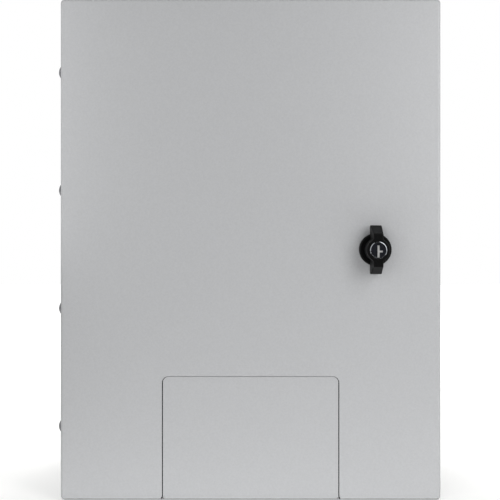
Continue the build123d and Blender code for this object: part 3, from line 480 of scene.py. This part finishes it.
def beadShell(route, baseY, size):
    # A profile carried along a line on the face y = baseY. The profile is half of a superellipse on a flat
    # foot: across = half width * cos(f)^p, up = height * sin(f)^p. The height sways a little with the length
    # run, and over the last half width the whole profile shrinks along a quarter circle to round off the
    # ends.
    step = np.gradient(route, axis=0)
    step /= np.linalg.norm(step, axis=1)[:, None]
    side = np.stack([step[:, 1], -step[:, 0]], 1)
    run = lengthRun(route)
    half = size["width"] / 2 * mm
    fromEnd = np.clip(np.minimum(run, run[-1] - run) / half, size["tipShare"], 1)
    shrink = np.sqrt(1 - (1 - fromEnd) ** 2)
    wave = run / (size["swayMm"] * mm)
    sway = 1 - size["sway"] * (1 + np.sin(wave) * np.cos(wave / size["swayBeat"]))
    f = np.linspace(0, np.pi, size["profilePoints"])
    across = half * np.sign(np.cos(f)) * np.abs(np.cos(f)) ** size["power"]
    up = size["height"] * mm * np.sin(f) ** size["power"]
    flat = route[:, None, :] + side[:, None, :] * (shrink[:, None] * across)[..., None]
    rise = baseY + (shrink * sway)[:, None] * up
    return gridShell(np.stack([flat[..., 0], rise, flat[..., 1]], -1), wrapCols=True, capRows=True)


def roundedLoop(halfX, halfZ, radius, cornerSteps):
    # Corner by corner, anticlockwise from the lower right: centre of the corner + radius * (cos a, sin a).
    a = np.radians(np.linspace(-90, 0, cornerSteps)[None, :] + 90 * np.arange(4)[:, None])
    centres = np.array([[1, -1], [1, 1], [-1, 1], [-1, -1]]) * (halfX - radius, halfZ - radius)
    return (centres[:, None, :] + radius * np.stack([np.cos(a), np.sin(a)], -1)).reshape(-1, 2)


def lengthRun(route):
    # how far along the line each of its points lies
    return np.concatenate([[0], np.cumsum(np.linalg.norm(np.diff(route, axis=0), axis=1))])


def evenly(route, spacing):
    # the same line with its points at an even spacing
    run = lengthRun(route)
    at = np.linspace(0, run[-1], int(run[-1] / spacing) + 1)
    return np.stack([np.interp(at, run, route[:, 0]), np.interp(at, run, route[:, 1])], 1)


bead = {"width": 12, "height": 8, "power": 0.72, "sway": 0.012, "swayMm": 17, "swayBeat": 2.7, "cornerMm": 9,
        "cornerSteps": 10, "spacingMm": 2, "profilePoints": 19, "tipShare": 0.01, "crease": 60}
low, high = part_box("door_gasket")
inset = bead["width"] / 2 * mm
loop = roundedLoop(high.x - inset, high.z - inset, bead["cornerMm"] * mm, bead["cornerSteps"])
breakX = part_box("flap_stops")[1].x
loop = np.concatenate([[[breakX, low.z + inset]], loop, [[-breakX, low.z + inset]]])
doorBead = addPiece("door_gasket_bead", [beadShell(evenly(loop, bead["spacingMm"] * mm), low.y, bead)],
                    "door", "sealing_foam", "door_gasket", crease=bead["crease"])

low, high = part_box("flap_gasket")
flapRun = np.array([[high.x, (low.z + high.z) / 2], [low.x, (low.z + high.z) / 2]])
flapBead = addPiece("flap_gasket_bead", [beadShell(evenly(flapRun, bead["spacingMm"] * mm), low.y, bead)],
                    "flap", "sealing_foam", "flap_gasket", crease=bead["crease"])

# Flat gasket: every point lies between the inner and the outer loop, and both cut edges swell at half height
flatGasket = {"overlap": 14, "corner": 8, "cornerSteps": 8, "swell": 0.35, "edgePoints": 7}
low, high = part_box("gland_gasket")
centre = middle("gland_gasket")
outerX, outerY = high.x - centre.x, high.y - centre.y
overlap, corner = flatGasket["overlap"] * mm, flatGasket["corner"] * mm
outer = roundedLoop(outerX, outerY, corner, flatGasket["cornerSteps"])
inner = roundedLoop(outerX - overlap, outerY - overlap, corner, flatGasket["cornerSteps"])
lift = np.radians(np.linspace(-90, 90, flatGasket["edgePoints"]))
swell = flatGasket["swell"] / flatGasket["overlap"]
share = np.concatenate([1 - swell + 2 * swell * np.cos(lift), swell - 2 * swell * np.cos(lift)])
level = np.concatenate([np.sin(lift), np.sin(lift[::-1])])
flat = inner[:, None, :] + (outer - inner)[:, None, :] * share[:, None]
rise = centre.z + np.broadcast_to(level * (high.z - low.z) / 2, flat.shape[:2])
gasketGrid = np.stack([centre.x + flat[..., 0], centre.y + flat[..., 1], rise], -1)
addPiece("gland_gasket_sheet", [gridShell(gasketGrid, wrapRows=True, wrapCols=True)], "case", "sealing_foam",
         "gland_gasket", finish=rubber)


def ringShell(inner, outer, thick, edge, origin, along, steps=48, edgePoints=4):
    # A flat ring whose four edges are rounded: a rectangle with quarter circles, turned about the axis.
    q = np.radians(np.linspace(0, 90, edgePoints))
    cos, sin = edge * np.cos(q), edge * np.sin(q)
    r = np.concatenate([outer - edge + cos, inner + edge - sin, inner + edge - cos, outer - edge + sin])
    h = np.concatenate([thick - edge + sin, thick - edge + cos, edge - sin, edge - cos])
    return turned(r, h, origin, along, ring=True, steps=steps)


out = (0, -1, 0)  # away from the wall
rear = (0, 1, 0)  # towards the wall
up = (0, 0, 1)
inward = (1, 0, 0)  # from the left side of the door into it
seal = {"inner": 11.1, "outer": 15.2, "thick": 0.8, "edge": 0.38, "steps": 72}
lockMiddle = middle("lock_seal")
lockX, lockZ = lockMiddle.x, lockMiddle.z
sealBase = (lockX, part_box("lock_seal")[1].y, lockZ)
addPiece("lock_seal_ring", [ringShell(**seal, origin=sealBase, along=out)], "door", "sealing_foam",
         "lock_seal", finish=rubber)
print("seals made")


# Fasteners: a thread's depth over its pitch, and a hexagon's face radius over its width across flats
threadForm = {"depthShare": 0.6, "rowsPerTurn": 10}
hexForm = {"faceShare": 0.475, "slope": math.tan(math.radians(30))}
turnEach = 0.37  # every nut ends up at its own angle


def threaded(foot, thread, origin, along, steps=36):
    # foot is the plain (radius, height) profile before the thread. On the thread the radius swings from
    # crest to root and back once a pitch, as (1 - cos(2 pi h / pitch - a)) / 2, the swing grows over the
    # first turn, and a bevel takes off the tip.
    a = np.arange(steps) * 2 * np.pi / steps
    pitch = thread["pitch"]
    turns = (thread["end"] - thread["start"]) / pitch
    h = np.linspace(thread["start"], thread["end"], int(turns * threadForm["rowsPerTurn"]) + 2)[:, None]
    grow = np.clip((h - thread["start"]) / pitch, 0, 1)
    depth = threadForm["depthShare"] * pitch * grow * (1 - np.cos(2 * np.pi * h / pitch - a)) / 2
    bevel = thread["crest"] - thread["bevel"] + thread["end"] - h
    threadR = np.minimum(thread["crest"] - depth, bevel)
    footR, footH = np.array(foot, float).T
    radii = np.concatenate([np.repeat(footR[:, None], steps, 1), threadR])
    heights = np.concatenate([footH, h[:, 0]])
    return turned(radii, heights, origin, along, steps=steps)


def hexOutline(across, steps):
    # Distance from the axis to the side of a hexagon: half across flats / cos(angle from the nearest flat).
    # With it go the radius of its flat face and how far a cone at 30 degrees cuts down from there.
    a = np.arange(steps) * 2 * np.pi / steps
    side = across / 2 / np.cos((a + np.pi / 6) % (np.pi / 3) - np.pi / 6)
    face = np.full(steps, hexForm["faceShare"] * across)
    return side, face, (side - face) * hexForm["slope"]


def hexNut(size, origin, along, turn=0.0, steps=48):
    # Hexagon with a cone turned off both faces, round a countersunk bore.
    side, face, drop = hexOutline(size["across"], steps)
    bore, sink, top = size["bore"], size["sink"], size["height"]
    one = np.ones(steps)
    radii = [one * (bore + sink), one * bore, one * bore, one * (bore + sink), face, side, side, face]
    heights = [0 * one, one * sink, one * (top - sink), one * top, one * top, top - drop, drop, 0 * one]
    return turned(radii, heights, origin, along, ring=True, steps=steps, turn=turn)


def hexScrew(size, origin, along, steps=48):
    # Hexagon head with a turned top, dished inside a narrow land, on a plain shank.
    side, face, drop = hexOutline(size["across"], steps)
    one = np.ones(steps)
    top, dished, end = size["head"], size["head"] - size["dish"], -size["length"]
    radii = [one * size["axis"], face - size["land"], face, side, side, one * size["shank"],
             one * size["shank"], one * size["axis"]]
    heights = [one * dished, one * dished, one * top, top - drop, 0 * one, 0 * one, one * end, one * end]
    return turned(radii, heights, origin, along, steps=steps)


def weldFoot(radius, leg, points=5):
    # Concave fillet of weld round the foot of a stud: a quarter circle of the leg's size.
    q = np.radians(np.linspace(0, 90, points))
    return [(radius + leg * (1 - math.sin(a)), leg * (1 - math.cos(a))) for a in q]


def studCorners(node, inset):
    # the four corner places of a group of studs, from the box of its node
    low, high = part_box(node)
    edge = inset * mm
    return [(x, z) for x in (low.x + edge, high.x - edge) for z in (low.z + edge, high.z - edge)]


def seat(node, along):
    # middle of the end of a node from which its axis starts; the axis runs the positive way
    low, high = (np.array(corner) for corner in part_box(node))
    return np.where(np.array(along) > 0, low, (low + high) / 2)


plateStud = {"standoff": 7.0, "length": 20.0, "weld": 1.2, "bevel": 0.4}
plateThread = {"crest": 4.0, "pitch": 1.25, "start": 20.0, "end": 33.1, "bevel": 0.9}
plateNut = {"across": 13.0, "height": 6.5, "bore": 4.0, "sink": 0.5}
plateWasher = {"inner": 4.25, "outer": 8.0, "thick": 1.6, "edge": 0.3}
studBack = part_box("plate_studs")[1].y
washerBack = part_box("plate_washers")[1].y
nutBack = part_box("plate_nuts")[1].y
standoff, shoulder = plateStud["standoff"], plateStud["length"]
foot = weldFoot(standoff, plateStud["weld"])
foot += [(standoff, shoulder - plateStud["bevel"]), (standoff - plateStud["bevel"], shoulder),
         (plateThread["crest"], shoulder)]
spots = studCorners("plate_studs", standoff)
addPiece("plate_studs_threaded", [threaded(foot, plateThread, (x, studBack, z), out) for x, z in spots],
         "case", "zinc_plate", "plate_studs")
addPiece("plate_washers_stamped", [ringShell(**plateWasher, origin=(x, washerBack, z), along=out)
                                   for x, z in spots], "case", "zinc_plate", "plate_washers")
addPiece("plate_nuts_hex", [hexNut(plateNut, (x, nutBack, z), out, turnEach * i)
                            for i, (x, z) in enumerate(spots)], "case", "zinc_plate", "plate_nuts")

glandStud = {"weld": 0.5, "steps": 24}
glandThread = {"crest": 2.5, "pitch": 0.8, "start": 1.0, "end": 10.5, "bevel": 0.6}
glandNut = {"across": 8.0, "height": 4.5, "bore": 2.5, "sink": 0.4}
low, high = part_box("gland_studs")
radius = glandThread["crest"] * mm
spots = [(x, y) for x in (low.x + radius, (low.x + high.x) / 2, high.x - radius)
         for y in (low.y + radius, high.y - radius)]
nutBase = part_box("gland_nuts")[0].z
foot = weldFoot(glandThread["crest"], glandStud["weld"]) + [(glandThread["crest"], glandThread["start"])]
addPiece("gland_studs_threaded", [threaded(foot, glandThread, (x, y, low.z), up, glandStud["steps"])
                                  for x, y in spots], "case", "zinc_plate", "gland_studs")
addPiece("gland_nuts_hex", [hexNut(glandNut, (x, y, nutBase), up, turnEach * i)
                            for i, (x, y) in enumerate(spots)], "case", "zinc_plate", "gland_nuts")

earths = [
    {"body": "case", "name": "case_earth", "along": up, "weld": 1.2,
     "thread": {"crest": 4.0, "pitch": 1.25, "start": 2.0, "end": 22.0, "bevel": 0.9},
     "nut": {"across": 13.0, "height": 6.5, "bore": 4.0, "sink": 0.5},
     "washer": {"inner": 4.25, "outer": 8.0, "thick": 1.6, "edge": 0.3}},
    {"body": "door", "name": "door_earth", "along": rear, "weld": 0.9,
     "thread": {"crest": 3.0, "pitch": 1.0, "start": 1.6, "end": 16.0, "bevel": 0.7},
     "nut": {"across": 10.0, "height": 5.0, "bore": 3.0, "sink": 0.4},
     "washer": {"inner": 3.25, "outer": 6.0, "thick": 1.2, "edge": 0.25}},
]
for earth in earths:
    thread, along = earth["thread"], earth["along"]
    stud, washer, nut = (earth["name"] + end for end in ("_stud", "_washer", "_nut"))
    foot = weldFoot(thread["crest"], earth["weld"]) + [(thread["crest"], thread["start"])]
    addPiece(stud + "_threaded", [threaded(foot, thread, seat(stud, along), along)], earth["body"],
             "zinc_plate", stud)
    addPiece(washer + "_stamped", [ringShell(**earth["washer"], origin=seat(washer, along), along=along)],
             earth["body"], "zinc_plate", washer)
    addPiece(nut + "_hex", [hexNut(earth["nut"], seat(nut, along), along, turnEach)], earth["body"],
             "zinc_plate", nut)

# Mushroom-head bolts of the hinge: the head is a cap of a sphere on a short rim
bolt = {"head": 6.8, "height": 3.2, "rim": 0.35, "edge": 0.12, "capPoints": 12, "offAxis": 0.02, "count": 4,
        "steps": 48}
boltThread = {"crest": 2.5, "pitch": 0.8, "start": 2.7, "end": 8.2, "bevel": 0.6}
boltNut = {"across": 8.0, "height": 4.0, "bore": 2.5, "sink": 0.4}
low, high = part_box("hinge_screws")
crown = bolt["height"] - bolt["rim"]
sphere = (bolt["head"] ** 2 + crown ** 2) / (2 * crown)
cap = np.linspace(bolt["offAxis"], math.asin(bolt["head"] / sphere), bolt["capPoints"])
foot = [(sphere * math.sin(a), -bolt["height"] + sphere * (1 - math.cos(a))) for a in cap]
foot += [(bolt["head"], -bolt["edge"]), (bolt["head"] - bolt["edge"], 0), (boltThread["crest"], 0),
         (boltThread["crest"], boltThread["start"])]
heights = np.linspace(low.z + bolt["head"] * mm, high.z - bolt["head"] * mm, bolt["count"])
boltX, boltY = low.x + bolt["height"] * mm, (low.y + high.y) / 2
addPiece("hinge_bolts_mushroom", [threaded(foot, boltThread, (boltX, boltY, z), inward, bolt["steps"])
                                  for z in heights], "door", "dull_steel", "hinge_screws")
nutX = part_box("hinge_nuts")[0].x
addPiece("hinge_nuts_hex", [hexNut(boltNut, (nutX, boltY, z), inward, turnEach * i)
                            for i, z in enumerate(heights)], "door", "zinc_plate", "hinge_nuts")

# Blind rivets: a domed head whose height falls as 1 - (r / radius)^p, with the hole of its pulled stem, and
# a barrel that has swelled on the far side as sin(pi a)^q along its length
rivet = {"head": 3.25, "height": 1.1, "domeStart": 0.28, "domePower": 2.4, "rim": 0.02, "points": 8,
         "stemHole": 0.85, "stemFloor": 0.5, "stemMouth": -0.55, "axis": 0.05,
         "shank": 1.6, "grip": 2.7, "barrel": 2.4, "tail": 2.0, "swellPower": 0.6, "swellShare": 0.85,
         "swellFrom": 0.05, "swellTo": 0.9, "stemEnd": (1.1, 0.9), "count": 4, "steps": 32}
low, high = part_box("hinge_rivets")
grip, tail = rivet["grip"], rivet["tail"]
swellEnd, swellDepth = grip + tail * rivet["swellShare"], rivet["barrel"] - rivet["shank"]
profile = [(rivet["axis"], rivet["stemFloor"]), (rivet["stemHole"], rivet["stemFloor"]),
           (rivet["stemHole"], rivet["stemMouth"])]
profile += [(rivet["head"] * a, -rivet["height"] * (1 - a ** rivet["domePower"]) - rivet["rim"])
            for a in np.linspace(rivet["domeStart"], 1, rivet["points"])]
profile += [(rivet["head"], 0.0), (rivet["shank"], 0.0), (rivet["shank"], grip)]
profile += [(rivet["shank"] + swellDepth * math.sin(math.pi * a) ** rivet["swellPower"],
             grip + tail * rivet["swellShare"] * a)
            for a in np.linspace(rivet["swellFrom"], rivet["swellTo"], rivet["points"])]
profile += [(rivet["stemEnd"][0], swellEnd), (rivet["stemEnd"][1], grip + tail),
            (rivet["axis"], grip + tail)]
radii, lengths = np.array(profile).T
rivetX, rivetY = low.x + rivet["height"] * mm, (low.y + high.y) / 2
heights = np.linspace(low.z + rivet["head"] * mm, high.z - rivet["head"] * mm, rivet["count"])
addPiece("hinge_rivets_blind", [turned(radii, lengths, (rivetX, rivetY, z), inward, steps=rivet["steps"])
                                for z in heights], "case", "stainless_hinge", "hinge_rivets")
print("fasteners made")

# Lock: the nut behind the door, the screw and washer of the cam, and the bright rim of the cylinder
lockNut = {"across": 27.0, "height": 5.0, "bore": 11.0, "sink": 0.5}
lockTurn = {"turn": 0.2, "steps": 72}
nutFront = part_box("lock_nut")[0].y
addPiece("lock_nut_hex", [hexNut(lockNut, (lockX, nutFront, lockZ), rear, **lockTurn)], "door", "zinc_plate",
         "lock_nut")
camWasher = {"inner": 3.25, "outer": 9.0, "thick": 1.6, "edge": 0.3}
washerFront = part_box("cam_washer")[0].y
addPiece("cam_washer_stamped", [ringShell(**camWasher, origin=(lockX, washerFront, lockZ), along=rear)],
         "knob", "zinc_plate", "cam_washer")
camScrew = {"across": 10.0, "head": 4.0, "dish": 0.25, "land": 0.6, "shank": 3.0, "length": 11.6,
            "axis": 0.1}
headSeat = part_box("cam_screw")[1].y - camScrew["head"] * mm
addPiece("cam_screw_hex", [hexScrew(camScrew, (lockX, headSeat, lockZ), rear)], "knob", "zinc_plate",
         "cam_screw")

# Sleeve of the key cylinder: a tube whose front is turned to a cone that falls away outward, with a rounded
# lip at either end of it, so that it catches the light from one side
sleeve = {"inner": 7.45, "outer": 8.3, "lip": 0.1, "lipPoints": 5, "slope": 21, "steps": 72}
low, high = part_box("cylinder_sleeve")
length = (high.y - low.y) / mm
lip, slope = sleeve["lip"], math.radians(sleeve["slope"])
fall = (sleeve["outer"] - sleeve["inner"] - 2 * lip) * math.tan(slope)
outerTurn = np.linspace(0, math.pi / 2 - slope, sleeve["lipPoints"])
innerTurn = np.linspace(math.pi / 2 - slope, math.pi, sleeve["lipPoints"])
radii = np.concatenate([[sleeve["outer"]], sleeve["outer"] - lip + lip * np.cos(outerTurn),
                        sleeve["inner"] + lip + lip * np.cos(innerTurn), [sleeve["inner"]]])
lengths = np.concatenate([[0], length - lip - fall + lip * np.sin(outerTurn),
                          length - lip + lip * np.sin(innerTurn), [0]])
addPiece("cylinder_sleeve_turned", [turned(radii, lengths, (lockX, high.y, lockZ), out, ring=True,
                                           steps=sleeve["steps"])], "knob", "chrome_ring", "cylinder_sleeve")
print("lock pieces made")

# Every CAD node that still shows takes the finish of its slot
for part in frame["record"]["subparts"]:
    shown = nodes[part["node"]].data
    shown.materials.clear()
    shown.materials.append(finishes[part["material_slot"]])
